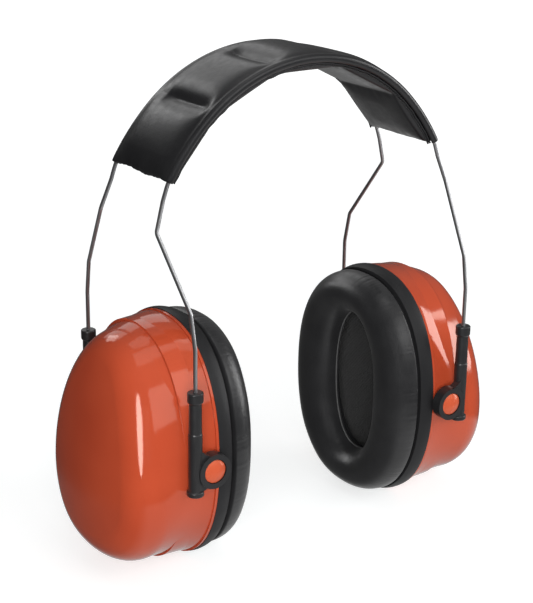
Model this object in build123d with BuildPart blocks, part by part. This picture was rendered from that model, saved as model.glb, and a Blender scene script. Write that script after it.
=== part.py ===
"""Hearing protection earmuffs with a padded two-wire spring headband.

Frame: X runs across the head, Y runs front to back (the front is -Y), Z is up.
The origin is on the surface under the cups, midway between them. Names that start
with left_ are on the -X side. Every right-hand piece is made first, at +X, and the
left-hand one is its mirror image.
"""
import os
from math import asin, cos, degrees, pi, radians, sin

from build123d import *

# ---- driving dimensions, in millimetres and degrees -------------------------------

clearance = 0.3               # between parts that move past each other
running_fit = 0.06            # radial play of a shaft in its own bore

# cups
cup_z = 56.0                  # height of each cup's centre
rim_x = 59.5                  # plane where the outer shell meets the seat ring
rim_half_width = 41.5
rim_half_height = 55.0
oval_power = 2.25             # 2 is an ellipse, more is squarer
wall = 2.4
shell_depth = 43.8            # rim to the outermost point
face_peak_z = 37.7            # height of the outer face's furthest point
face_radius = 127.0           # curve of the outer face from front to back
face_tall_radius = 175.0      # curve of the outer face from top to bottom
face_round = 15.8             # rounded edge between the outer face and the sides
shell_sections = [            # (out from the rim, half width, half height, drop, narrowing, power)
    (9.0, 40.8, 54.5, -0.2, 0.03, 2.11),
    (33.5, 38.6, 48.6, 2.4, 0.205, 2.36),
    (55.5, 35.3, 46.0, 7.9, 0.065, 2.62),
]
first_step = [                # the raised part next to the rim
    (0.0, 40.4, 54.9, 0.0, 0.0, 2.2),
    (15.5, 39.9, 54.0, 0.0, 0.03, 2.2),
]
second_step = [               # the lower raised part over the top
    (14.5, 39.4, 53.0, -0.3, 0.05, 2.2),
    (23.5, 38.1, 50.3, 0.1, 0.14, 2.2),
]
bead_width = 1.3
bead_height = 0.5
boss_radius = 4.6             # pivot boss on each side of the shell

# pads that meet the head
ring_depth = 6.8              # seat ring, rim to cushion side
ring_half_width = 42.2
ring_half_height = 55.79
seat_half_width = 26.0        # opening through the seat ring
seat_half_height = 40.0
spigot_play = 0.7             # between the seat ring's spigot and the shell
spigot_thickness = 1.5
spigot_length = 3.0
backplate_thickness = 1.1
cushion_x = 38.5              # plane of the ear faces
cushion_half_width = 40.5
cushion_half_height = 53.4
ear_half_width = 16.5         # opening for the ear
ear_half_height = 34.0
cushion_face_round = 6.0
cushion_back_round = 3.5
gauze_half_width = 35.5
gauze_half_height = 49.0
foam_sections = [             # foam block in the hollow, as shell_sections
    (0.5, 34.5, 48.0, 0.0, 0.0, 2.25),
    (14.0, 33.5, 46.0, 0.0, 0.05, 2.25),
    (27.0, 29.0, 40.0, 1.5, 0.12, 2.25),
]

# spring wires
wire_radius = 0.9
wire_y = 20.9                 # half the spacing of the two wires in the band
crown_z = 219.0               # top of the wires' centre lines
arch_spans = [                # (radius, angle from the crown where the arc ends)
    (77.0, 44.3),
    (104.0, 58.5),
    (22.0, 71.0),
]
arch_angle = arch_spans[-1][1]
cover_angle = 64.5            # where the padded cover ends
spread_arm = 5.0              # cover end to the line about which a leg spreads
spread_gap = 0.15
knee_z = 155.5
knee_y = 22.7
elbow = (73.8, 42.0, 125.6)   # where a leg turns down towards its guide
leg_x = 73.4
leg_y = 44.7
leg_straight_z = 110.8
leg_end_z = 65.0
bend_radius = 4.0
top_bend_radius = 10.0        # gentler bend above the guide

# slide guides and pivots
guide_bottom_z = 46.1
guide_top_z = 92.7
guide_radius = 3.0
collar_radius = 3.4
flange_radius = 3.7
bore_bottom_z = 48.5
gusset_low_z = 47.6           # where the gussets leave the tube
gusset_high_z = 72.5
gusset_waist = [(70.6, 48.6), (70.6, 65.4)]
gusset_reach = 7.0            # from the pivot to where they meet the eye
gusset_thickness = 3.4
step_z = 74.0                 # small step in the tube above the eye
pivot_x = 65.6
pivot_z = 56.3
eye_radius = 7.7
eye_back_y = 43.6
eye_front_y = 48.4
eye_floor_y = 46.2
button_radius = 5.1
recess_radius = 5.35
shank_radius = 2.5
shank_end_y = 38.2
button_side = 1.6             # height of the button's straight side
button_crown = 1.5

# padded cover
hem_radius = 2.0
skin_thickness = 1.0
pad_count = 5
pad_top = 0.8                 # above the wires' centre line
pad_bottom = -3.3
pad_half_width = 18.0
pad_gap = 2.4
lining_bottom = -4.4
lining_half_width = 20.2

os.makedirs("parts", exist_ok=True)


# ---- helpers ----------------------------------------------------------------------

def oval_points(half_width, half_height, centre_z, narrowing, power, count=28):
    """Points round an oval in (Y, Z); narrowing makes its top narrower than its foot."""
    points = []
    for i in range(count):
        angle = 2 * pi * (i + 0.5) / count
        c = cos(angle)
        s = sin(angle)
        y = half_width * abs(c) ** (2 / power) * (1 if c > 0 else -1)
        z = half_height * abs(s) ** (2 / power) * (1 if s > 0 else -1)
        points.append((y * (1 - narrowing * z / half_height), centre_z + z))
    return points


def oval_face(x, half_width, half_height, centre_z=cup_z, narrowing=0.0, power=oval_power):
    """A flat oval face at one distance from the middle of the head."""
    with BuildSketch(Plane.YZ.offset(x), mode=Mode.PRIVATE) as face:
        with BuildLine():
            Spline(*oval_points(half_width, half_height, centre_z, narrowing, power), periodic=True)
        make_face()
    return face.sketch


def oval_block(x_start, x_end, half_width, half_height, centre_z=cup_z):
    """A straight block with an oval outline."""
    with BuildPart(mode=Mode.PRIVATE) as block:
        extrude(oval_face(x_start, half_width, half_height, centre_z), amount=x_end - x_start)
    return block.part


def oval_loft(sections, inset=0.0):
    """A body through oval sections, listed as shell_sections are."""
    with BuildPart(mode=Mode.PRIVATE) as body:
        for depth, half_width, half_height, drop, narrowing, power in sections:
            add(oval_face(rim_x + depth, half_width - inset, half_height - inset,
                          cup_z - drop, narrowing, power))
        loft()
    return body.part


def shell_form(inset, edge_round):
    """The cup's outer form, or the hollow inside it when inset is the wall thickness."""
    start = -1.0 if inset else 0.0
    rim_section = (start, rim_half_width, rim_half_height, 0.0, 0.0, oval_power)
    with BuildPart(mode=Mode.PRIVATE) as form:
        add(oval_loft([rim_section] + shell_sections, inset))
        centre = (rim_x + shell_depth - face_tall_radius, 0, face_peak_z)
        with Locations(Plane(origin=centre, x_dir=(1, 0, 0), z_dir=(0, 1, 0))):
            Torus(face_tall_radius - face_radius, face_radius - inset, mode=Mode.INTERSECT)
        edge = form.edges().filter_by(lambda e: e.center().X > rim_x + 20)
        fillet(edge, edge_round)
    return form.part


def arch_point(angle, height):
    """A point (X, Z) of the arch, at an angle from the crown and a height over the wires."""
    turn = abs(angle)
    radius = arch_spans[0][0]
    centre_x = 0.0
    centre_z = crown_z - radius
    for (_, joint), (next_radius, _) in zip(arch_spans, arch_spans[1:]):
        if turn > joint:
            centre_x = centre_x + (radius - next_radius) * sin(radians(joint))
            centre_z = centre_z + (radius - next_radius) * cos(radians(joint))
            radius = next_radius
    x = centre_x + (radius + height) * sin(radians(turn))
    z = centre_z + (radius + height) * cos(radians(turn))
    return (x if angle > 0 else -x, z)


def arch_arcs(height, start, end):
    """Draw the arch at one height as tangent arcs, inside an open BuildLine."""
    joints = [joint for _, joint in arch_spans[:-1]]
    joints = sorted([-joint for joint in joints] + joints)
    stops = [start] + [joint for joint in joints if start < joint < end] + [end]
    for first, last in zip(stops, stops[1:]):
        ThreePointArc(
            arch_point(first, height),
            arch_point((first + last) / 2, height),
            arch_point(last, height),
        )


def arch_strip(low, high, y_start, y_end, start=-cover_angle, end=cover_angle):
    """A strip that follows the arch between two heights and two Y positions."""
    with BuildPart(mode=Mode.PRIVATE) as strip:
        with BuildSketch(Plane.XZ.offset(-y_start)):
            with BuildLine():
                arch_arcs(low, start, end)
                arch_arcs(high, start, end)
                Line(arch_point(start, low), arch_point(start, high))
                Line(arch_point(end, low), arch_point(end, high))
            make_face()
        extrude(amount=-(y_end - y_start))
    return strip.part


def arch_rod(radius, y, end_angle, stub=0.0):
    """A round rod along the arch, with a straight stub past each end."""
    along = (cos(radians(end_angle)), -sin(radians(end_angle)))
    end = arch_point(end_angle, 0)
    tip = (end[0] + stub * along[0], end[1] + stub * along[1])
    with BuildPart(mode=Mode.PRIVATE) as rod:
        with BuildLine(Plane.XZ.offset(-y)) as path:
            arch_arcs(0, -end_angle, end_angle)
            if stub > 0:
                Line((-tip[0], tip[1]), (-end[0], end[1]))
                Line(end, tip)
        with BuildSketch(Plane(origin=path.wire() @ 0, z_dir=path.wire() % 0)):
            Circle(radius)
        sweep(path=path.wire())
    return rod.part


def save(part, name):
    """Label one piece and write it."""
    part.label = name
    export_step(part, f"parts/{name}.step")


def save_pair(part, name):
    """Write a right-hand piece and its left-hand mirror image."""
    save(part, f"right_{name}")
    save(mirror(part, about=Plane.YZ), f"left_{name}")


def save_front_and_rear(part, name):
    """Write a piece at +Y on both sides, and its mirror image at -Y on both sides."""
    save_pair(part, f"rear_{name}")
    save_pair(mirror(part, about=Plane.XZ), f"front_{name}")


# ---- cups -------------------------------------------------------------------------

# outer shell: hollow moulding with a rim bead and a boss for each pivot
boss_root_y = rim_half_width - 4.0
cup_width = 2 * rim_half_width
with BuildPart() as outer_shell:
    add(shell_form(0.0, face_round))
    add(oval_block(rim_x, rim_x + bead_width,
                   rim_half_width + bead_height, rim_half_height + bead_height))
    add(oval_loft(first_step))
    add(oval_loft(second_step))
    for side in (-1, 1):
        with BuildSketch(Plane.XZ.offset(side * boss_root_y)):
            with Locations((pivot_x, pivot_z)):
                Circle(boss_radius)
        extrude(amount=side * (eye_back_y - clearance - boss_root_y))
    add(shell_form(wall, face_round - wall), mode=Mode.SUBTRACT)
    with Locations(Plane.XZ):
        with Locations((pivot_x, pivot_z)):
            Cylinder(shank_radius + 0.02, 1.5 * cup_width, mode=Mode.SUBTRACT)
save_pair(outer_shell.part, "outer_shell")

# seat ring: the black band round the rim, a seat for the cushion, a spigot in the shell
ring_x = rim_x - ring_depth
with BuildPart() as seat_ring:
    add(oval_loft([
        (-ring_depth, ring_half_width - 0.9, ring_half_height - 0.9, 0.0, 0.0, oval_power),
        (2.5 - ring_depth, ring_half_width - 0.1, ring_half_height - 0.1, 0.0, 0.0, oval_power),
        (-0.05, ring_half_width, ring_half_height, 0.0, 0.0, oval_power),
    ]))
    inset = wall + spigot_play
    add(oval_block(rim_x - 0.1, rim_x + spigot_length,
                   rim_half_width - inset, rim_half_height - inset))
    inset = inset + spigot_thickness
    add(oval_block(ring_x + 2.0, rim_x + spigot_length + 1.0,
                   rim_half_width - inset, rim_half_height - inset), mode=Mode.SUBTRACT)
    add(oval_block(ring_x - 1.0, rim_x, seat_half_width, seat_half_height),
        mode=Mode.SUBTRACT)
save_pair(seat_ring.part, "seat_ring")

# cushion backplate: the stiff ring welded to the cushion, with a collar that snaps in
backplate_x = ring_x - 0.1 - backplate_thickness
with BuildPart() as backplate:
    add(oval_block(backplate_x, ring_x - 0.1,
                   cushion_half_width - 0.7, cushion_half_height - 0.7))
    add(oval_block(ring_x - 0.2, ring_x + 3.0, seat_half_width - 0.3, seat_half_height - 0.3))
    add(oval_block(backplate_x - 1.0, ring_x + 4.0,
                   seat_half_width - 1.8, seat_half_height - 1.8), mode=Mode.SUBTRACT)
save_pair(backplate.part, "cushion_backplate")

# cushion: soft ring round the ear
cushion_back = backplate_x - 0.1
with BuildPart() as cushion:
    add(oval_block(cushion_x, cushion_back, cushion_half_width, cushion_half_height))
    add(oval_block(cushion_x - 1.0, cushion_back + 1.0, ear_half_width, ear_half_height),
        mode=Mode.SUBTRACT)
    fillet(cushion.faces().sort_by(Axis.X)[0].edges(), cushion_face_round)
    fillet(cushion.faces().sort_by(Axis.X)[-1].edges(), cushion_back_round)
save_pair(cushion.part, "cushion")

# liner: a foam block that fills the hollow, and the thin gauze over it
save_pair(oval_loft(foam_sections), "liner_foam")
liner_gauze = oval_block(rim_x - 1.1, rim_x + 0.3, gauze_half_width, gauze_half_height)
save_pair(liner_gauze, "liner_gauze")

# ---- pivots and slide guides, made at +Y --------------------------------------------

# pivot stud: domed button, shank through the guide's eye, snap end inside the shell
head_y = eye_floor_y + 0.1
rim_y = head_y + button_side
crown_y = rim_y + button_crown
dome_radius = (button_radius ** 2 + button_crown ** 2) / (2 * button_crown)
dome_turn = asin(button_radius / dome_radius) / 2
with BuildPart() as pivot_stud:
    with BuildSketch(Plane.XY.offset(pivot_z)):
        with BuildLine():
            Polyline(
                (pivot_x, crown_y),
                (pivot_x, shank_end_y),
                (pivot_x + shank_radius - 0.5, shank_end_y),
                (pivot_x + shank_radius, shank_end_y + 0.8),
                (pivot_x + shank_radius, head_y),
                (pivot_x + button_radius, head_y),
                (pivot_x + button_radius, rim_y),
            )
            ThreePointArc(
                (pivot_x + button_radius, rim_y),
                (pivot_x + dome_radius * sin(dome_turn), crown_y - dome_radius * (1 - cos(dome_turn))),
                (pivot_x, crown_y),
            )
        make_face()
    revolve(axis=Axis((pivot_x, 0, pivot_z), (0, 1, 0)))
save_front_and_rear(pivot_stud.part, "pivot_stud")

# slide guide: tube on the wire, collar, foot flange, and an eye for the pivot
with BuildPart() as slide_guide:
    with BuildSketch(Plane.XZ.offset(-leg_y)) as tube:
        with BuildLine():
            Polyline(
                (leg_x, guide_bottom_z),
                (leg_x + flange_radius, guide_bottom_z),
                (leg_x + flange_radius, guide_bottom_z + 2.0),
                (leg_x + guide_radius - 0.1, guide_bottom_z + 2.6),
                (leg_x + guide_radius, step_z),
                (leg_x + guide_radius - 0.2, step_z + 0.5),
                (leg_x + guide_radius - 0.3, guide_top_z - 5.0),
                (leg_x + collar_radius, guide_top_z - 4.2),
                (leg_x + collar_radius, guide_top_z),
                (leg_x, guide_top_z),
                close=True,
            )
        make_face()
        corners = tube.vertices().filter_by(lambda v: v.X > leg_x + guide_radius + 0.2)
        fillet(corners, 0.6)
    revolve(axis=Axis((leg_x, leg_y, 0), (0, 0, 1)))
    with BuildSketch(Plane.XZ.offset(-eye_back_y)):
        with Locations((pivot_x, pivot_z)):
            Circle(eye_radius)
    extrude(amount=-(eye_front_y - eye_back_y))
    with BuildSketch(Plane.XZ.offset(-(eye_back_y + 0.3))):
        with BuildLine():
            low_end = (pivot_x, pivot_z - gusset_reach)
            high_end = (pivot_x, pivot_z + gusset_reach)
            Line(high_end, low_end)
            ThreePointArc(low_end, gusset_waist[0], (leg_x, gusset_low_z))
            Polyline(
                (leg_x, gusset_low_z),
                (leg_x + 1.5, gusset_low_z),
                (leg_x + 1.5, gusset_high_z),
                (leg_x, gusset_high_z),
            )
            ThreePointArc((leg_x, gusset_high_z), gusset_waist[1], high_end)
        make_face()
    extrude(amount=-gusset_thickness)
    with BuildSketch(Plane.XZ.offset(-eye_floor_y)):
        with Locations((pivot_x, pivot_z)):
            Circle(recess_radius)
    extrude(amount=-5.0, mode=Mode.SUBTRACT)
    with BuildSketch(Plane.XZ.offset(-eye_back_y + 1.0)):
        with Locations((pivot_x, pivot_z)):
            Circle(shank_radius + running_fit)
    extrude(amount=-6.0, mode=Mode.SUBTRACT)
    with BuildSketch(Plane.XY.offset(bore_bottom_z)):
        with Locations((leg_x, leg_y)):
            Circle(wire_radius + running_fit)
    extrude(amount=guide_top_z, mode=Mode.SUBTRACT)
save_front_and_rear(slide_guide.part, "slide_guide")

# ---- spring wires -------------------------------------------------------------------

# each wire's arch inside the cover, and a leg that spreads from it on each side
arch_end = arch_point(arch_angle, 0)
spread_line = (
    arch_end[0] + spread_arm * cos(radians(arch_angle)),
    arch_end[1] - spread_arm * sin(radians(arch_angle)),
)
stub = spread_arm - wire_radius - spread_gap
save(arch_rod(wire_radius, wire_y, arch_angle, stub), "rear_arch_wire")
save(arch_rod(wire_radius, -wire_y, arch_angle, stub), "front_arch_wire")

knee_x = spread_line[0] + (spread_line[1] - knee_z) / sin(radians(arch_angle)) * cos(radians(arch_angle))
with BuildPart() as leg_wire:
    with BuildLine() as leg_path:
        FilletPolyline(
            (spread_line[0], wire_y, spread_line[1]),
            (knee_x, knee_y, knee_z),
            elbow,
            (leg_x, leg_y, leg_straight_z),
            (leg_x, leg_y, leg_end_z),
            radius=[bend_radius, bend_radius, top_bend_radius],
        )
    with BuildSketch(Plane(origin=leg_path.wire() @ 0, z_dir=leg_path.wire() % 0)):
        Circle(wire_radius)
    sweep(path=leg_path.wire())
    with Locations((spread_line[0], wire_y, spread_line[1])):
        Sphere(wire_radius)
save_front_and_rear(leg_wire.part, "leg_wire")

# ---- padded headband cover ------------------------------------------------------------

# top skin with a hem round each wire
with BuildPart() as cover_top:
    add(arch_strip(hem_radius - skin_thickness, hem_radius, -wire_y, wire_y))
    for y in (-wire_y, wire_y):
        add(arch_rod(hem_radius, y, cover_angle))
    for y in (-wire_y, wire_y):
        add(arch_rod(wire_radius + 0.05, y, arch_angle, 5.0), mode=Mode.SUBTRACT)
save(cover_top.part, "cover_top")

# lining: shallow channel under the wires
with BuildPart() as cover_lining:
    add(arch_strip(lining_bottom, lining_bottom + skin_thickness,
                   -lining_half_width, lining_half_width))
    for low_y in (-lining_half_width, lining_half_width - skin_thickness):
        add(arch_strip(lining_bottom, -hem_radius - 0.1, low_y, low_y + skin_thickness))
save(cover_lining.part, "cover_lining")

# one foam pad in each welded compartment, evenly spaced along the band
def arch_angle_at(distance):
    """The arch angle at a distance along the wire from the crown."""
    left = abs(distance)
    start = 0.0
    for radius, end in arch_spans:
        turn = degrees(left / radius)
        if start + turn <= end:
            break
        left = left - radius * radians(end - start)
        start = end
    return (start + turn) * (1 if distance > 0 else -1)


half_length = 0.0
last_angle = 0.0
for radius, end in arch_spans:
    span_end = min(end, cover_angle)
    half_length = half_length + radius * radians(span_end - last_angle)
    last_angle = span_end

with BuildPart() as band_pads:
    pitch = 2 * half_length / pad_count
    for i in range(pad_count):
        first = arch_angle_at(-half_length + i * pitch + pad_gap / 2)
        last = arch_angle_at(-half_length + (i + 1) * pitch - pad_gap / 2)
        add(arch_strip(pad_bottom, pad_top, -pad_half_width, pad_half_width, first, last))
save(band_pads.part, "band_pads")
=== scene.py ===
"""Looks of the hearing protection earmuffs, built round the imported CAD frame.

X runs across the head, -Y is the front, Z is up. Lengths are in millimetres and
are turned into metres where a mesh is made. The studio's lights, camera and
floor glow are in metres.
"""

from math import cos, degrees, pi, radians, sin

import bmesh
import bpy
import numpy as np
from mathutils import Matrix, Vector


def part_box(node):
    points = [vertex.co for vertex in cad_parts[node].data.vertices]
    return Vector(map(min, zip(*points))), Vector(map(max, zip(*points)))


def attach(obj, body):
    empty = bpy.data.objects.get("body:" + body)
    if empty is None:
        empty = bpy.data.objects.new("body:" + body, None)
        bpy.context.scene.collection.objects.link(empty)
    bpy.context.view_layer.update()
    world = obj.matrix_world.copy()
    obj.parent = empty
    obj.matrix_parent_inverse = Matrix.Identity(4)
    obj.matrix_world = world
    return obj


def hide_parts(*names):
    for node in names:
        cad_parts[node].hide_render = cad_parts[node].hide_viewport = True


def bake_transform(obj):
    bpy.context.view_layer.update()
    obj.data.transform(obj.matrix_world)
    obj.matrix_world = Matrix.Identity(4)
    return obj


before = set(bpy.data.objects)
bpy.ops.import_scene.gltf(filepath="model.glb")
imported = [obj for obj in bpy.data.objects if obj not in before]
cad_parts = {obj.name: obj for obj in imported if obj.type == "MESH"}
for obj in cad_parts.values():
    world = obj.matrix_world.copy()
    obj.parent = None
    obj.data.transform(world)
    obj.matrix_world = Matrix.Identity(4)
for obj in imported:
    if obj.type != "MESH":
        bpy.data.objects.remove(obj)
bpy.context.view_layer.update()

MM = 0.001
SIDES = (("left", -1), ("right", 1))
ENDS = (("front", -1), ("rear", 1))

# arch of the two wires; a span is its radius and the angle from the crown where it ends
CROWN_Z = 219.0
ARCH_SPANS = ((77.0, 44.3), (104.0, 58.5), (22.0, 71.0))
COVER_ANGLE = 64.5
WIRE_RADIUS = 0.9
WIRE_Y = 20.9
HEM_RADIUS = 2.0
COMPARTMENTS = 5

# the wires below the arch
SPREAD_ARM = 5.0              # straight run from the arch's end to the spread hinge
KNEE = (22.7, 155.5)          # y, z
ELBOW = (73.8, 42.0, 125.6)
LEG = (73.4, 44.7)            # x, y of the straight end
LEG_STRAIGHT_Z = 110.8
LEG_END_Z = 65.0
BEND_RADII = (4.0, 4.0, 10.0)

# cups
CUP_Z = 56.0
CUSHION_BACK = 51.4
CUSHION_FRONT = 38.0
CUSHION_OUTER = (41.8, 54.1)  # half width, half height
EAR_OPENING = (17.7, 35.0)
OVAL_POWER = 2.25
FRONT_POWER = 2.2             # 2 is a round roll, more is squarer
BACK_POWER = 3.0


# ---- mesh helpers -----------------------------------------------------------------

def mesh_object(name, vertices, faces, material, smooth=True):
    """A new object from points in millimetres."""
    mesh = bpy.data.meshes.new(name)
    mesh.from_pydata([tuple(c * MM for c in v) for v in vertices], [], faces)
    mesh.validate()
    mesh.update()
    for polygon in mesh.polygons:
        polygon.use_smooth = smooth
    mesh.materials.append(material)
    obj = bpy.data.objects.new(name, mesh)
    bpy.context.scene.collection.objects.link(obj)
    return obj


def grid_faces(rows, columns, wrap_rows=False, wrap_columns=False):
    """Quads of a grid whose points are stored row by row."""
    faces = []
    for i in range(rows if wrap_rows else rows - 1):
        for j in range(columns if wrap_columns else columns - 1):
            a = i * columns + j
            b = i * columns + (j + 1) % columns
            c = ((i + 1) % rows) * columns + (j + 1) % columns
            d = ((i + 1) % rows) * columns + j
            faces.append((a, b, c, d))
    return faces


def layered_faces(rows, columns, wrap_columns=False):
    """Quads of two grids, the second turned over, and where its points start."""
    faces = grid_faces(rows, columns, wrap_columns=wrap_columns)
    offset = rows * columns
    faces += [tuple(offset + k for k in reversed(face)) for face in faces]
    return faces, offset


def recalculate_normals(obj, merge=None):
    """Join points closer than merge, in millimetres, and point every face outwards."""
    work = bmesh.new()
    work.from_mesh(obj.data)
    if merge:
        bmesh.ops.remove_doubles(work, verts=work.verts, dist=merge * MM)
    bmesh.ops.recalc_face_normals(work, faces=work.faces)
    work.to_mesh(obj.data)
    work.free()


def apply_modifiers(obj):
    """Keep the modified mesh and drop the modifiers."""
    depsgraph = bpy.context.evaluated_depsgraph_get()
    depsgraph.update()
    mesh = bpy.data.meshes.new_from_object(obj.evaluated_get(depsgraph))
    obj.modifiers.clear()
    obj.data = mesh


def tube(name, points, radius, material, sides=16, closed=False):
    """A round rod through points in millimetres, with flat ends."""
    count = len(points)
    vectors = [Vector(p) for p in points]
    rings = []
    side_hint = None
    for i, here in enumerate(vectors):
        before = vectors[i - 1] if closed or i else here
        after = vectors[(i + 1) % count] if closed or i < count - 1 else here
        along = (after - before).normalized()
        if side_hint is None:
            side_hint = along.orthogonal().normalized()
        side = (side_hint - along * side_hint.dot(along)).normalized()
        up = along.cross(side)
        side_hint = side
        for k in range(sides):
            turn = 2 * pi * k / sides
            rings.append(here + (side * cos(turn) + up * sin(turn)) * radius)
    faces = grid_faces(count, sides, wrap_rows=closed, wrap_columns=True)
    if not closed:
        faces.append(tuple(reversed(range(sides))))
        faces.append(tuple(range((count - 1) * sides, count * sides)))
    obj = mesh_object(name, rings, faces, material)
    recalculate_normals(obj)
    return obj


def oval(half_width, half_height, turn):
    """A point (y, z) on a slightly squared oval round the cup's centre."""
    c = cos(turn)
    s = sin(turn)
    y = half_width * abs(c) ** (2 / OVAL_POWER) * (1 if c > 0 else -1)
    z = half_height * abs(s) ** (2 / OVAL_POWER) * (1 if s > 0 else -1)
    return y, CUP_Z + z


# ---- materials --------------------------------------------------------------------

def new_material(name):
    """A new node material, with its tree, its shader and object coordinates."""
    material = bpy.data.materials.new(name)
    material.use_nodes = True
    tree = material.node_tree
    shader = tree.nodes["Principled BSDF"]
    place = tree.nodes.new("ShaderNodeTexCoord")
    return material, tree, shader, place.outputs["Object"]


def noise(tree, place, scale, detail=2.0, stretch=None):
    """A noise texture, in cycles a metre."""
    if stretch:
        mapping = tree.nodes.new("ShaderNodeMapping")
        mapping.inputs["Scale"].default_value = stretch
        tree.links.new(place, mapping.inputs["Vector"])
        place = mapping.outputs["Vector"]
    node = tree.nodes.new("ShaderNodeTexNoise")
    node.inputs["Scale"].default_value = scale
    node.inputs["Detail"].default_value = detail
    tree.links.new(place, node.inputs["Vector"])
    return node.outputs["Fac"]


def cells(tree, place, scale):
    """A Voronoi texture's distance, in cells a metre."""
    node = tree.nodes.new("ShaderNodeTexVoronoi")
    node.inputs["Scale"].default_value = scale
    tree.links.new(place, node.inputs["Vector"])
    return node.outputs["Distance"]


def ramp(tree, value, *stops):
    """A colour ramp: (position, (r, g, b)) or (position, grey)."""
    node = tree.nodes.new("ShaderNodeValToRGB")
    elements = node.color_ramp.elements
    while len(elements) < len(stops):
        elements.new(0.5)
    for element, (position, colour) in zip(elements, stops):
        colour = (colour,) * 3 if isinstance(colour, float) else colour
        element.position = position
        element.color = (*colour, 1.0)
    tree.links.new(value, node.inputs["Fac"])
    return node.outputs["Color"]


def bump(tree, shader, *layers):
    """Chain bump layers (height, distance in mm, strength) into the shader."""
    normal = None
    for height, distance, strength in layers:
        node = tree.nodes.new("ShaderNodeBump")
        node.inputs["Distance"].default_value = distance * MM
        node.inputs["Strength"].default_value = strength
        tree.links.new(height, node.inputs["Height"])
        if normal:
            tree.links.new(normal, node.inputs["Normal"])
        normal = node.outputs["Normal"]
    tree.links.new(normal, shader.inputs["Normal"])


def moulded_plastic(name, dark, light, rough, tint=(1.0, 1.0, 1.0), shine=0.5):
    """Moulded plastic: slight colour drift, uneven gloss and a faint waviness."""
    material, tree, shader, place = new_material(name)
    colour = ramp(tree, noise(tree, place, 22.0), (0.3, dark), (0.7, light))
    tree.links.new(colour, shader.inputs["Base Color"])
    gloss = ramp(tree, noise(tree, place, 130.0, 4.0), (0.35, rough[0]), (0.75, rough[1]))
    tree.links.new(gloss, shader.inputs["Roughness"])
    shader.inputs["Specular Tint"].default_value = (*tint, 1.0)
    shader.inputs["Specular IOR Level"].default_value = shine
    bump(tree, shader,
         (noise(tree, place, 45.0, 1.0), 0.25, 0.12),
         (noise(tree, place, 1500.0, 2.0), 0.02, 0.10))
    return material


def vinyl(name, dark, light, rough, grain, sheen=0.0, shine=0.5):
    """Soft black vinyl with a fine leather grain."""
    material, tree, shader, place = new_material(name)
    colour = ramp(tree, noise(tree, place, 60.0, 3.0), (0.3, dark), (0.7, light))
    tree.links.new(colour, shader.inputs["Base Color"])
    gloss = ramp(tree, noise(tree, place, 420.0, 4.0), (0.3, rough[0]), (0.7, rough[1]))
    tree.links.new(gloss, shader.inputs["Roughness"])
    shader.inputs["Specular IOR Level"].default_value = shine
    shader.inputs["Sheen Weight"].default_value = sheen
    shader.inputs["Sheen Roughness"].default_value = 0.4
    bump(tree, shader,
         (cells(tree, place, 1100.0), 0.10, grain),
         (noise(tree, place, 2600.0, 3.0), 0.04, grain),
         (noise(tree, place, 120.0, 2.0), 0.30, 0.25))
    return material


def foam(name, grey):
    """Open-cell foam: small pits of uneven size, each painted darker towards its middle as
    painted shade.
    """
    material, tree, shader, place = new_material(name)
    pits = 900.0
    # painted shade: the colour darkens towards the middle of each pit, where the bump sinks it
    colour = ramp(tree, cells(tree, place, pits), (0.1, grey * 0.35), (0.6, grey))
    tree.links.new(colour, shader.inputs["Base Color"])
    shader.inputs["Roughness"].default_value = 0.95
    bump(tree, shader,
         (cells(tree, place, pits), 0.5, 0.8),
         (noise(tree, place, 1800.0, 3.0), 0.2, 0.5))
    return material


def mesh_gauze(name):
    """Fine dark netting: a regular grid of threads with holes between them."""
    material, tree, shader, place = new_material(name)
    heights = []
    for axis in ("Y", "Z"):
        wave = tree.nodes.new("ShaderNodeTexWave")
        wave.bands_direction = axis
        wave.inputs["Scale"].default_value = 420.0
        wave.inputs["Distortion"].default_value = 0.4
        tree.links.new(place, wave.inputs["Vector"])
        heights.append(wave.outputs["Fac"])
    top = tree.nodes.new("ShaderNodeMath")
    top.operation = "MAXIMUM"
    tree.links.new(heights[0], top.inputs[0])
    tree.links.new(heights[1], top.inputs[1])
    colour = ramp(tree, top.outputs[0], (0.45, 0.010), (0.9, 0.09))
    tree.links.new(colour, shader.inputs["Base Color"])
    shader.inputs["Roughness"].default_value = 0.75
    bump(tree, shader, (top.outputs[0], 0.4, 0.9))
    return material


def drawn_wire(name):
    """Bright drawn spring steel with faint marks along its length."""
    material, tree, shader, place = new_material(name)
    marks = noise(tree, place, 1600.0, 2.0, stretch=(1.0, 1.0, 0.04))
    colour = ramp(tree, marks, (0.3, (0.55, 0.55, 0.56)), (0.7, (0.62, 0.62, 0.63)))
    tree.links.new(colour, shader.inputs["Base Color"])
    gloss = ramp(tree, noise(tree, place, 200.0, 1.0), (0.3, 0.40), (0.7, 0.48))
    tree.links.new(gloss, shader.inputs["Roughness"])
    shader.inputs["Metallic"].default_value = 1.0
    return material


SHELL = moulded_plastic("shell_plastic", (0.43, 0.056, 0.021), (0.51, 0.074, 0.029),
                        rough=(0.07, 0.13), tint=(1.0, 0.80, 0.70), shine=0.6)
BUTTON = moulded_plastic("button_plastic", (0.50, 0.080, 0.033), (0.58, 0.100, 0.042),
                         rough=(0.24, 0.34), tint=(1.0, 0.66, 0.46))
BLACK = moulded_plastic("black_plastic", (0.013, 0.013, 0.014), (0.019, 0.019, 0.020),
                        rough=(0.44, 0.55), shine=0.22)
GUIDE = moulded_plastic("guide_plastic", (0.014, 0.014, 0.015), (0.020, 0.020, 0.021),
                        rough=(0.28, 0.38))
CUSHION_VINYL = vinyl("cushion_vinyl", (0.016, 0.016, 0.017), (0.024, 0.024, 0.025),
                      rough=(0.30, 0.39), grain=0.22, sheen=0.06)
BAND_VINYL = vinyl("band_vinyl", (0.010, 0.010, 0.011), (0.015, 0.015, 0.016),
                   rough=(0.28, 0.38), grain=0.14, shine=0.45)
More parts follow.
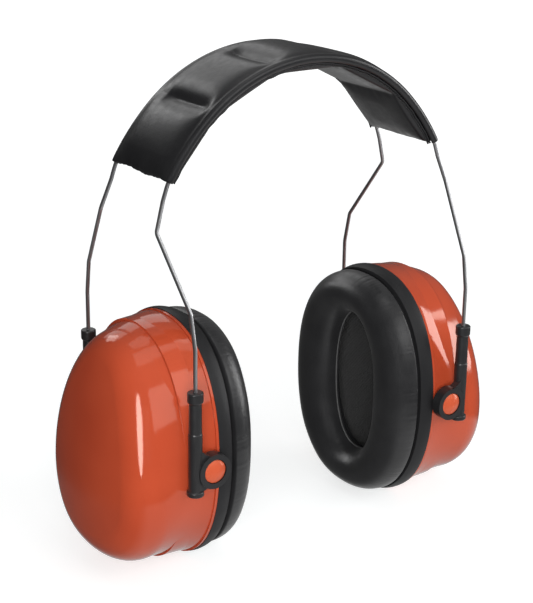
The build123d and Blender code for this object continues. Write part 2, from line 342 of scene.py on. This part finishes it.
# painted highlight: the weld is painted a lighter grey than the cushion vinyl, standing in for
# the light line along it
SEAM_PAINTED_HIGHLIGHT = vinyl("cushion_seam_painted_highlight", (0.07, 0.07, 0.07), (0.11, 0.11, 0.11),
             rough=(0.40, 0.50), grain=0.10)
FOAM = foam("liner_foam", 0.03)
GAUZE = mesh_gauze("liner_gauze")
WIRE = drawn_wire("spring_wire")

CAD_MATERIALS = {
    "outer_shell": SHELL,
    "seat_ring": BLACK,
    "cushion_backplate": BLACK,
    "front_pivot_stud": BUTTON,
    "rear_pivot_stud": BUTTON,
    "front_slide_guide": GUIDE,
    "rear_slide_guide": GUIDE,
}
for side, _ in SIDES:
    for node, material in CAD_MATERIALS.items():
        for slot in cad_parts[f"{side}_{node}"].material_slots:
            slot.material = material


# ---- cushions and liners ------------------------------------------------------------

def ripple(turn, waves, seed):
    """A repeatable uneven ripple round a closed edge, about -1 to 1."""
    rng = np.random.default_rng(seed)
    total = 0.0
    for count, phase, weight in zip(waves, rng.uniform(0, 2 * pi, len(waves)),
                                    rng.uniform(0.5, 1.0, len(waves))):
        total = total + weight * np.sin(count * turn + phase)
    return total / len(waves)


def cushion(side, sign):
    """The soft ring round the ear: a fat roll, tucked in at the back, lightly gathered."""
    turns = 720
    steps = 52
    back_depth = 1.5
    middle = CUSHION_BACK - back_depth
    front_depth = middle - CUSHION_FRONT
    gather_depth = 1.5
    outer_gathers = 0.30
    inner_gathers = 0.12
    lump_height = 0.22
    turn = 2 * pi * (np.arange(turns) + 0.5) / turns
    strength = 0.3 + 0.7 * ripple(turn, (5, 9, 14), 5)
    gathers = ripple(turn, (71, 89, 113, 149, 181), 3) * strength
    lumps = ripple(turn, (3, 4, 7, 11), 8)
    points = []
    for i in range(turns):
        for j in range(steps):
            roll = 2 * pi * j / steps
            front = sin(roll) < 0
            power = FRONT_POWER if front else BACK_POWER
            depth = abs(sin(roll)) ** (2 / power) * (-front_depth if front else back_depth)
            spread = abs(cos(roll)) ** (2 / power) * (1 if cos(roll) > 0 else -1)
            fade = 1 - abs(depth + gather_depth) / front_depth
            outer = max(max(spread, 0.0) ** 3 * fade, 0.0)
            inner = max(max(-spread, 0.0) ** 3 * fade, 0.0)
            push = outer_gathers * gathers[i] * outer - inner_gathers * gathers[i] * inner
            share = (spread + 1) / 2
            width = EAR_OPENING[0] + (CUSHION_OUTER[0] - EAR_OPENING[0]) * share + push
            height = EAR_OPENING[1] + (CUSHION_OUTER[1] - EAR_OPENING[1]) * share + push
            y, z = oval(width, height, turn[i])
            soften = lump_height * lumps[i] * max(-depth, 0.0) / front_depth
            points.append((sign * (middle + depth + soften), y, z))
    obj = mesh_object(f"{side}_cushion_pad", points,
                      grid_faces(turns, steps, True, True), CUSHION_VINYL)
    recalculate_normals(obj)
    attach(obj, f"{side}_cup")
    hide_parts(f"{side}_cushion")
    weld_depth = 2.2
    weld_gap = 0.2
    weld_steps = 160
    width, height = (size + weld_gap for size in EAR_OPENING)
    ring = [(sign * (CUSHION_BACK - weld_depth), *oval(width, height, t))
            for t in 2 * pi * (np.arange(weld_steps) + 0.5) / weld_steps]
    # the weld's lighter grey is a painted highlight
    weld = tube(f"{side}_cushion_inner_weld", ring, 0.45, SEAM_PAINTED_HIGHLIGHT, sides=8, closed=True)
    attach(weld, f"{side}_cup")


def liner(side, sign):
    """The foam block in the shell and the netting over it."""
    low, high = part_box(f"{side}_liner_gauze")
    face = min(abs(low[0]), abs(high[0])) / MM
    half_y = (high[1] - low[1]) / 2 / MM
    half_z = (high[2] - low[2]) / 2 / MM
    rings = 14
    turns = 96
    smallest = 0.004
    back_edge = 0.985
    for name, node, slot, material, start, inset, sag, thickness, taper, fill in (
        ("liner_net", "liner_gauze", "gauze", GAUZE, 0.0, 0.0, 1.2, 1.3, None, 0.3),
        ("liner_block", "liner_foam", "foam", FOAM, 1.6, 1.0, 1.5, 26.0, (0.84, 0.82), 0.9),
    ):
        points = []
        for layer in (0, 1):
            edge = back_edge if layer else 1.0
            for i in range(rings):
                share = max(1 - i / (rings - 1), smallest)
                if layer:
                    rise = thickness * (1 - 0.25 * share ** 6)
                else:
                    rise = sag * (1 - share ** 2)
                width = (half_y - inset) * share * edge
                height = (half_z - inset) * share * edge
                for j in range(turns):
                    y, z = oval(width, height, 2 * pi * (j + 0.5) / turns)
                    if layer and taper:
                        y = y * taper[0]
                        z = CUP_Z + (z - CUP_Z) * taper[1]
                    points.append((sign * (face + start + rise), y, z))
        faces, offset = layered_faces(rings, turns, wrap_columns=True)
        for j in range(turns):
            k = (j + 1) % turns
            faces.append((j, offset + j, offset + k, k))
        last = (rings - 1) * turns
        faces.append(tuple(last + j for j in range(turns)))
        faces.append(tuple(offset + last + j for j in reversed(range(turns))))
        obj = mesh_object(f"{side}_{name}", points, faces, material)
        recalculate_normals(obj)
        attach(obj, f"{side}_cup")
        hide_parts(f"{side}_{node}")


for side, sign in SIDES:
    cushion(side, sign)
    liner(side, sign)


# ---- the arch and the spring wires --------------------------------------------------

def arch_point(turn, height):
    """A point (x, z) at a signed angle from the crown and a height over the wires."""
    size = abs(turn)
    radius = ARCH_SPANS[0][0]
    centre_x = 0.0
    centre_z = CROWN_Z - radius
    for (_, joint), (next_radius, _) in zip(ARCH_SPANS, ARCH_SPANS[1:]):
        if size > joint:
            centre_x += (radius - next_radius) * sin(radians(joint))
            centre_z += (radius - next_radius) * cos(radians(joint))
            radius = next_radius
    x = centre_x + (radius + height) * sin(radians(size))
    z = centre_z + (radius + height) * cos(radians(size))
    return (x if turn > 0 else -x), z


def arch_angle(distance):
    """The signed angle at a distance along the wire from the crown."""
    left = abs(distance)
    start = 0.0
    for radius, end in ARCH_SPANS:
        turn = degrees(left / radius)
        if start + turn <= end or end == ARCH_SPANS[-1][1]:
            break
        left -= radius * radians(end - start)
        start = end
    return (start + turn) * (1 if distance > 0 else -1)


def arch_length(to_angle):
    """Distance along the wire from the crown to an angle."""
    total = 0.0
    start = 0.0
    for radius, end in ARCH_SPANS:
        stop = min(end, to_angle)
        total += radius * radians(max(stop - start, 0.0))
        start = max(stop, start)
    return total


HALF_COVER = arch_length(COVER_ANGLE)
OFF_CROWN = 0.001             # the crown itself lies on neither side


def rounded_path(corners, radii, step=0.6, longest=2.0):
    """Points along straight runs joined by tangent arcs."""
    corners = [Vector(c) for c in corners]
    points = [corners[0]]
    for here, before, after, radius in zip(corners[1:-1], corners, corners[2:], radii):
        into = (before - here).normalized()
        out = (after - here).normalized()
        half = into.angle(out) / 2
        reach = radius / np.tan(half)
        centre = here + (into + out).normalized() * (radius / sin(half))
        start = here + into * reach
        end = here + out * reach
        arc = pi - 2 * half
        count = max(3, int(radius * arc / step))
        first = start - centre
        axis = first.cross(end - centre).normalized()
        for k in range(count + 1):
            points.append(centre + Matrix.Rotation(arc * k / count, 3, axis) @ first)
    points.append(corners[-1])
    fine = [points[0]]
    for a, b in zip(points, points[1:]):
        pieces = max(1, int((b - a).length / longest))
        for k in range(1, pieces + 1):
            fine.append(a.lerp(b, k / pieces))
    return fine


def spring_wire(side, sign, end_name, y_sign):
    """Half of one wire: from the crown, inside the hem, to its end in the guide."""
    last = ARCH_SPANS[-1][1]
    along = (cos(radians(last)), -sin(radians(last)))
    tip = arch_point(last, 0)
    spread = (tip[0] + SPREAD_ARM * along[0], tip[1] + SPREAD_ARM * along[1])
    knee_x = spread[0] + (spread[1] - KNEE[1]) / sin(radians(last)) * cos(radians(last))
    arch = []
    whole = arch_length(last)
    arch_steps = 60
    first_step = 0.01
    for i in range(arch_steps + 1):
        x, z = arch_point(arch_angle(max(whole * i / arch_steps, first_step)), 0)
        arch.append(Vector((x, WIRE_Y, z)))
    leg = rounded_path(
        [(spread[0], WIRE_Y, spread[1]), (knee_x, KNEE[0], KNEE[1]), ELBOW,
         (*LEG, LEG_STRAIGHT_Z), (*LEG, LEG_END_Z)],
        BEND_RADII)
    middle = [arch[-1].lerp(leg[0], k / 5) for k in range(1, 5)]
    path = [(sign * p.x, y_sign * p.y, p.z) for p in arch + middle + leg]
    obj = tube(f"{side}_{end_name}_spring_wire", path, WIRE_RADIUS, WIRE)
    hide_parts(f"{side}_{end_name}_leg_wire", f"{end_name}_arch_wire")
    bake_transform(obj)


for side, sign in SIDES:
    for end_name, y_sign in ENDS:
        spring_wire(side, sign, end_name, y_sign)


# ---- padded headband cover ----------------------------------------------------------

PITCH = 2 * HALF_COVER / COMPARTMENTS
HEM_STEPS = 10
SKIN_STEPS = 46
SKIN_ROWS = 210
SKIN_THICKNESS = 0.7
SKIN_EDGE = 0.6               # from the wire's middle to where the skin leaves the hem
PUFF = 1.3                    # how far the top skin stands over its hems
WELD_DEPTH = 1.7              # how far a weld between two pads sinks the skin
WELD_SPREAD = 3.0
WELD_HALF_LENGTH = 15.5
WELD_OFFSET = 2.5             # the welds lie a little towards the front
END_DEPTH = 1.5               # how far the skin sinks at the band's two ends
END_SPREAD = 1.3
END_RISE = 9.0                # how far from the ends the skin reaches its full height
LINING_DROP = 3.5
LINING_BEND = -2.9            # height where the lining turns in under the pads
LINING_END = -1.0             # height of the lining at its two ends, closed on the top skin
LINING_CLOSE = 3.0            # over how much of each end the lining closes
LINING_FLAT = 18.2            # half the width of the flat face under the pads
HELD_END = 1.0                # length that stays put at each end
# waves of the cut ends: height, pitch along the cut, shift between the two ends
CUT_WAVES = ((0.16, 0.8, 1.0), (0.35, 0.23, 2.1), (0.10, 1.9, -1.0))

SIM_SCALE = 10.0              # the cloth runs ten times enlarged, where its solver is steady
CLOTH_FRAMES = 18
CLOTH = {
    "quality": 7,
    "mass": 0.25,
    "tension_stiffness": 25.0,
    "compression_stiffness": 12.0,
    "shear_stiffness": 6.0,
    "use_pressure": True,
}


def in_compartment(distance):
    """(which compartment, 0 to 1 along it) at a distance from the crown."""
    place = (distance + HALF_COVER) / PITCH
    which = min(max(int(place), 0), COMPARTMENTS - 1)
    return which, min(max(place - which, 0.0), 1.0)


def facet(distance, radius=82.0):
    """How far an arc of the radius rises over the flat lining between two welds."""
    _, share = in_compartment(distance)
    along = share * PITCH
    return along * (PITCH - along) / (2 * radius)


def weld_distance(distance):
    """How far the nearest weld across the band is."""
    _, share = in_compartment(distance)
    return min(share, 1 - share) * PITCH


def crown(share, power):
    """0 at both welds, 1 in the middle, rounded at the ends."""
    return 1 - abs(2 * share - 1) ** power


def cut_edge(y, end):
    """Waviness of the cut end of the cover, in mm along the band."""
    wave = sum(height * sin(pitch * y + shift * end) for height, pitch, shift in CUT_WAVES)
    return wave * (1 - (abs(y) / (WIRE_Y + HEM_RADIUS)) ** 4 * 0.6)


def band_points(section, distances):
    """Grid of points from (y, height) pairs given at each distance along the band."""
    points = []
    edge_reach = 4.0
    for distance in distances:
        near_end = max(0.0, abs(distance) - HALF_COVER + edge_reach) / edge_reach
        for y, height in section(distance):
            shift = cut_edge(y, 1.0 if distance > 0 else 4.0) * near_end
            turn = arch_angle(distance + shift if distance > 0 else distance - shift - 0.0001)
            x, z = arch_point(turn, height)
            points.append((x, y, z))
    return points


def top_section(distance):
    """The top skin across the band: hem, skin between the hems, hem."""
    hem_turn = 75
    from_end = HALF_COVER - abs(distance)
    sink = WELD_DEPTH * np.exp(-(weld_distance(distance) / WELD_SPREAD) ** 2)
    _, share = in_compartment(distance)
    puff = PUFF * crown(share, 3.0)
    if from_end < PITCH / 2:
        sink = END_DEPTH * np.exp(-(from_end / END_SPREAD) ** 2)
        puff = PUFF * min(1.0, from_end / END_RISE)
    section = []
    for k in range(HEM_STEPS + 1):
        turn = radians(-hem_turn + 2 * hem_turn * k / HEM_STEPS)
        section.append((-WIRE_Y - HEM_RADIUS * cos(turn), HEM_RADIUS * sin(turn)))
    reach = WIRE_Y - SKIN_EDGE
    for k in range(SKIN_STEPS + 1):
        y = -reach + 2 * reach * k / SKIN_STEPS
        lift = puff * (1 - (abs(y) / reach) ** 5)
        section.append((y, HEM_RADIUS - 0.1 - sink * weld_reach(y) + lift))
    for k in range(HEM_STEPS + 1):
        turn = radians(hem_turn - 2 * hem_turn * k / HEM_STEPS)
        section.append((WIRE_Y + HEM_RADIUS * cos(turn), HEM_RADIUS * sin(turn)))
    return section


def weld_reach(y):
    """How firmly the welds across the top hold the skin down, over the width."""
    return max(0.0, 1 - (abs(y + WELD_OFFSET) / WELD_HALF_LENGTH) ** 4)


def lining_section(distance):
    """The lining across the band: down from one hem, flat under the pads, up to the other."""
    low = -LINING_DROP - facet(distance)
    near_end = max(0.0, 1 - (HALF_COVER - abs(distance)) / LINING_CLOSE)
    low += (LINING_END - low) * near_end ** 2
    past_bend = low - LINING_BEND
    half = [(19.6, 1.3), (19.6, 0.2), (19.7, -0.9), (20.5, -1.7), (20.7, -2.2), (20.4, -2.7),
            (19.8, LINING_BEND + 0.55 * past_bend), (19.1, LINING_BEND + 0.9 * past_bend)]
    middle = 30
    section = [(-y, height) for y, height in half]
    for k in range(middle + 1):
        section.append((LINING_FLAT * (2 * k / middle - 1), low))
    return section + half[::-1]


def inflate(obj, pinned, pressure, growth, bending, cap):
    """Run the cloth solver on an enlarged copy and keep the moves, up to a cap in mm."""
    mesh = obj.data.copy()
    rest = np.empty(len(mesh.vertices) * 3)
    mesh.vertices.foreach_get("co", rest)
    mesh.vertices.foreach_set("co", rest * SIM_SCALE)
    copy = bpy.data.objects.new("simulated", mesh)
    bpy.context.scene.collection.objects.link(copy)
    group = copy.vertex_groups.new(name="pins")
    for index, weight in enumerate(pinned):
        if weight > 0:
            group.add([index], weight, "REPLACE")
    cloth = copy.modifiers.new("cloth", "CLOTH")
    settings = cloth.settings
    for setting, value in CLOTH.items():
        setattr(settings, setting, value)
    settings.bending_stiffness = bending
    settings.uniform_pressure_force = pressure
    settings.shrink_min = -growth
    settings.vertex_group_mass = "pins"
    settings.effector_weights.gravity = 0.0
    cloth.point_cache.frame_start = 1
    cloth.point_cache.frame_end = CLOTH_FRAMES
    scene = bpy.context.scene
    for number in range(1, CLOTH_FRAMES + 1):
        scene.frame_set(number)
    result = bpy.data.meshes.new_from_object(
        copy.evaluated_get(bpy.context.evaluated_depsgraph_get()))
    moved = np.empty(len(result.vertices) * 3)
    result.vertices.foreach_get("co", moved)
    scene.frame_set(1)
    bpy.data.objects.remove(copy)
    rest = rest.reshape(-1, 3)
    step = moved.reshape(-1, 3) / SIM_SCALE - rest
    size = np.linalg.norm(step, axis=1, keepdims=True)
    step = step * np.minimum(1.0, cap * MM / np.maximum(size, 1e-9))
    obj.data.vertices.foreach_set("co", (rest + step).ravel())
    obj.data.update()


def band_skin(name, node, section, held, outwards, pressure, growth, bending, cap):
    """One skin of the cover: a sheet blown up between its welds, then given its thickness."""
    distances = [-HALF_COVER + 2 * HALF_COVER * i / SKIN_ROWS for i in range(SKIN_ROWS + 1)]
    columns = len(section(0.0))
    obj = mesh_object(name, band_points(section, distances), grid_faces(SKIN_ROWS + 1, columns),
                      BAND_VINYL)
    middle = obj.data.polygons[(SKIN_ROWS // 2) * (columns - 1) + columns // 2]
    if middle.normal.z * outwards < 0:
        obj.data.flip_normals()
    pinned = [held(distance, k, y) for distance in distances
              for k, (y, _) in enumerate(section(distance))]
    inflate(obj, pinned, pressure, growth, bending, cap)
    solid = obj.modifiers.new("thickness", "SOLIDIFY")
    solid.thickness = SKIN_THICKNESS * MM
    solid.offset = -1.0
    smooth = obj.modifiers.new("smooth", "SUBSURF")
    smooth.levels = 1
    smooth.render_levels = 1
    apply_modifiers(obj)
    recalculate_normals(obj)
    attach(obj, "headband")
    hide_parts(node)


def top_held(distance, column, y):
    """Pins of the top skin: both hems, the welds and the ends."""
    if column <= HEM_STEPS + 1 or column >= HEM_STEPS + SKIN_STEPS:
        return 1.0
    if abs(distance) > HALF_COVER - HELD_END:
        return 1.0
    weld_half_width = 0.7
    on_weld = weld_distance(distance) < weld_half_width and weld_reach(y) > 0.2
    return 1.0 if on_weld else 0.0


def lining_held(distance, column, y):
    """Pins of the lining: its edges, the welds and the ends."""
    if abs(y) > LINING_FLAT + 0.3 or abs(distance) > HALF_COVER - HELD_END:
        return 1.0
    weld_half_width = 0.6
    return 1.0 if weld_distance(distance) < weld_half_width else 0.0


band_skin("headband_top_skin", "cover_top", top_section, top_held, 1.0,
          pressure=4.0, growth=0.002, bending=16.0, cap=1.6)
band_skin("headband_lining", "cover_lining", lining_section, lining_held, -1.0,
          pressure=3.0, growth=0.003, bending=10.0, cap=1.0)


def band_ridge(name, y, height, radius):
    """A welded ridge along the edge of the band, slightly uneven in height."""
    points = []
    steps = 160
    short_of_end = 0.6
    for i in range(steps + 1):
        distance = (HALF_COVER - short_of_end) * (2 * i / steps - 1)
        lift = 0.12 * sin(distance * 0.9 + y) + 0.1 * sin(distance * 0.41)
        x, z = arch_point(arch_angle(distance or OFF_CROWN), height + lift)
        points.append((x, y, z))
    obj = tube(name, points, radius, BAND_VINYL, sides=8)
    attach(obj, "headband")


RIDGES = (("upper", 20.9, -2.3, 0.45), ("lower", 20.5, -3.2, 0.4))
for end_name, y_sign in ENDS:
    for ridge_name, y, height, radius in RIDGES:
        band_ridge(f"headband_{end_name}_weld_{ridge_name}", y_sign * y, height, radius)


def rounded(across, along, power=8):
    """1 over the middle of a pad, falling to 0 at its edges; both run from -1 to 1."""
    return (1 - abs(along) ** power) ** 0.5 * (1 - abs(across) ** power) ** 0.5


def band_pad(index):
    """The foam in one compartment, rounded off to its edges."""
    gap = 1.4
    half_width = 17.2
    edge_height = -1.2
    top_rise = 2.0
    bottom_drop = 1.9
    low_end = -HALF_COVER + index * PITCH + gap
    high_end = low_end + PITCH - 2 * gap
    rows = 16
    columns = 12
    points = []
    for layer in (0, 1):
        for i in range(rows + 1):
            share = i / rows
            distance = low_end + (high_end - low_end) * share
            turn = arch_angle(distance or OFF_CROWN)
            for j in range(columns + 1):
                across = -1 + 2 * j / columns
                round_off = rounded(across, 2 * share - 1)
                if layer:
                    height = edge_height + top_rise * round_off
                else:
                    height = edge_height - (bottom_drop + facet(distance)) * round_off
                x, z = arch_point(turn, height)
                points.append((x, across * half_width, z))
    faces, _ = layered_faces(rows + 1, columns + 1)
    obj = mesh_object(f"headband_pad_{index + 1}", points, faces, FOAM)
    recalculate_normals(obj, merge=0.001)
    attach(obj, "headband")
    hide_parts("band_pads")


for index in range(COMPARTMENTS):
    band_pad(index)


# ---- studio -------------------------------------------------------------------------

SKY_HORIZON = 0.12
SKY_TOP = 0.29
TABLE_TONE = 0.6


def smooth_range(tree, value, start, stop, low, high):
    """A value eased from low to high while it runs from start to stop."""
    node = tree.nodes.new("ShaderNodeMapRange")
    node.interpolation_type = "SMOOTHSTEP"
    limits = {"From Min": start, "From Max": stop, "To Min": low, "To Max": high}
    for name, number in limits.items():
        node.inputs[name].default_value = number
    tree.links.new(value, node.inputs["Value"])
    return node.outputs["Result"]


def sky():
    """Grey surroundings, lighter overhead and low on the right, as a table top reflects."""
    world = bpy.data.worlds.new("studio_sky")
    world.use_nodes = True
    tree = world.node_tree
    place = tree.nodes.new("ShaderNodeTexCoord")
    split = tree.nodes.new("ShaderNodeSeparateXYZ")
    tree.links.new(place.outputs["Generated"], split.inputs["Vector"])

    def combine(operation, first, second):
        node = tree.nodes.new("ShaderNodeMath")
        node.operation = operation
        for socket, value in zip(node.inputs, (first, second)):
            if isinstance(value, float):
                socket.default_value = value
            else:
                tree.links.new(value, socket)
        return node.outputs["Value"]

    overhead = smooth_range(tree, split.outputs["Z"], 0.0, 0.95, SKY_HORIZON, SKY_TOP)
    table = smooth_range(tree, split.outputs["Z"], -0.46, -0.40, TABLE_TONE, 0.0)
    half_y = combine("MULTIPLY", split.outputs["Y"], 0.5)
    across = combine("SUBTRACT", split.outputs["X"], half_y)
    side = smooth_range(tree, across, -0.5, 0.1, 0.12, 1.0)
    shade = smooth_range(tree, across, -1.0, 0.2, 0.35, 1.0)
    overhead = combine("MULTIPLY", overhead, shade)
    table = combine("MULTIPLY", table, side)
    tone = combine("ADD", overhead, table)
    seen = tree.nodes.new("ShaderNodeLightPath").outputs["Is Camera Ray"]
    tone = combine("MAXIMUM", tone, seen)     # the backdrop itself is white
    background = tree.nodes["Background"]
    background.inputs["Color"].default_value = (1.0, 1.0, 1.0, 1.0)
    tree.links.new(tone, background.inputs["Strength"])
    bpy.context.scene.world = world


def direction(azimuth, elevation):
    """The way outwards. The azimuth, in degrees, runs from the front towards +X."""
    turn = radians(azimuth)
    rise = radians(elevation)
    return Vector((sin(turn) * cos(rise), -cos(turn) * cos(rise), sin(rise)))


def soft_box(name, azimuth, elevation, distance, size, brightness, roll=0.0, glossy=True,
             diffuse=True, shape="RECTANGLE", lit=None):
    """An area light aimed between the cups.

    Brightness is the light of its face. When lit is given, it lights those objects only.
    """
    target = Vector((0.0, 0.0, 0.09))
    way = direction(azimuth, elevation)
    light = bpy.data.lights.new(name, "AREA")
    light.shape = shape
    light.size, light.size_y = size
    light.energy = pi * size[0] * size[1] * brightness
    obj = bpy.data.objects.new(name, light)
    pose = (-way).to_track_quat("-Z", "Y").to_matrix() @ Matrix.Rotation(radians(roll), 3, "Z")
    obj.matrix_world = Matrix.Translation(target + way * distance) @ pose.to_4x4()
    obj.visible_camera = False
    obj.visible_glossy = glossy
    obj.visible_diffuse = diffuse
    if lit:
        receivers = bpy.data.collections.new(f"{name}_receivers")
        for receiver in lit:
            receivers.objects.link(receiver)
        obj.light_linking.receiver_collection = receivers
    bpy.context.scene.collection.objects.link(obj)


def studio_floor():
    """Pale ground with a glow that grows away from the cups, so it fades into the backdrop."""
    material, tree, shader, place = new_material("studio_floor")
    shader.inputs["Base Color"].default_value = (0.56, 0.58, 0.58, 1.0)
    shader.inputs["Roughness"].default_value = 0.8
    shader.inputs["Specular IOR Level"].default_value = 0.1
    shader.inputs["Emission Color"].default_value = (1.0, 1.0, 1.0, 1.0)
    length = tree.nodes.new("ShaderNodeVectorMath")
    length.operation = "LENGTH"
    tree.links.new(place, length.inputs[0])
    near, far = 0.15, 1.4
    glow = smooth_range(tree, length.outputs["Value"], near, far, 0.65, 0.95)
    tree.links.new(glow, shader.inputs["Emission Strength"])
    reach = 6000.0
    corners = [(x * reach, y * reach, 0) for x, y in ((-1, -1), (1, -1), (1, 1), (-1, 1))]
    floor = mesh_object("studio_floor", corners, [(0, 1, 2, 3)], material, smooth=False)
    floor.visible_glossy = False
    floor.visible_diffuse = False


def studio_lights():
    """Four windows overhead and soft boxes around.

    The numbers are azimuth, elevation, distance, size and brightness.
    """
    cushions = [bpy.data.objects[f"{side}_cushion_pad"] for side, _ in SIDES]
    hard_parts = [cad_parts[f"{side}_{node}"] for side, _ in SIDES
                  for node in CAD_MATERIALS]
    for column, azimuth in enumerate((40.0, 100.0, -40.0, 170.0)):
        soft_box(f"window_{column}", azimuth, 76.0, 1.3, (0.44, 0.44), 0.9, roll=20.0)
    soft_box("left_strip", -51.0, 14.0, 1.2, (0.34, 1.0), 9.0, diffuse=False, shape="ELLIPSE",
             lit=hard_parts)
    soft_box("right_box", 66.0, 12.0, 1.3, (0.45, 0.80), 6.0)
    soft_box("front_box", 15.0, 30.0, 1.6, (1.3, 0.9), 1.8)
    soft_box("fill", -37.0, 14.0, 1.5, (0.9, 0.9), 8.8, glossy=False)
    soft_box("back_box", 168.0, 34.0, 1.6, (1.0, 0.8), 1.1)
    soft_box("back_left_box", -170.0, 34.0, 1.5, (0.4, 0.4), 2.6, diffuse=False)
    soft_box("cushion_box", -153.0, 22.0, 1.5, (0.6, 0.7), 3.2, diffuse=False, lit=cushions)


def camera():
    """The viewing angle of the product shot: from the front left, a little above."""
    azimuth = -35.58
    roll = radians(0.85)
    distance = 0.68809
    target = Vector((-0.00636, 0.0, 0.10634))
    back = direction(azimuth, 18.99)
    right = Vector((cos(radians(azimuth)), sin(radians(azimuth)), 0.0))
    up = back.cross(right)
    axis_x = right * cos(roll) + up * sin(roll)
    axis_y = up * cos(roll) - right * sin(roll)
    data = bpy.data.cameras.new("product_camera")
    data.sensor_width = 36.0
    data.lens = 90.89
    obj = bpy.data.objects.new("product_camera", data)
    pose = Matrix((axis_x, axis_y, back)).transposed().to_4x4()
    pose.translation = target + back * distance
    obj.matrix_world = pose
    bpy.context.scene.collection.objects.link(obj)
    bpy.context.scene.camera = obj


bpy.context.scene.view_settings.view_transform = "Standard"
sky()
studio_floor()
studio_lights()
camera()
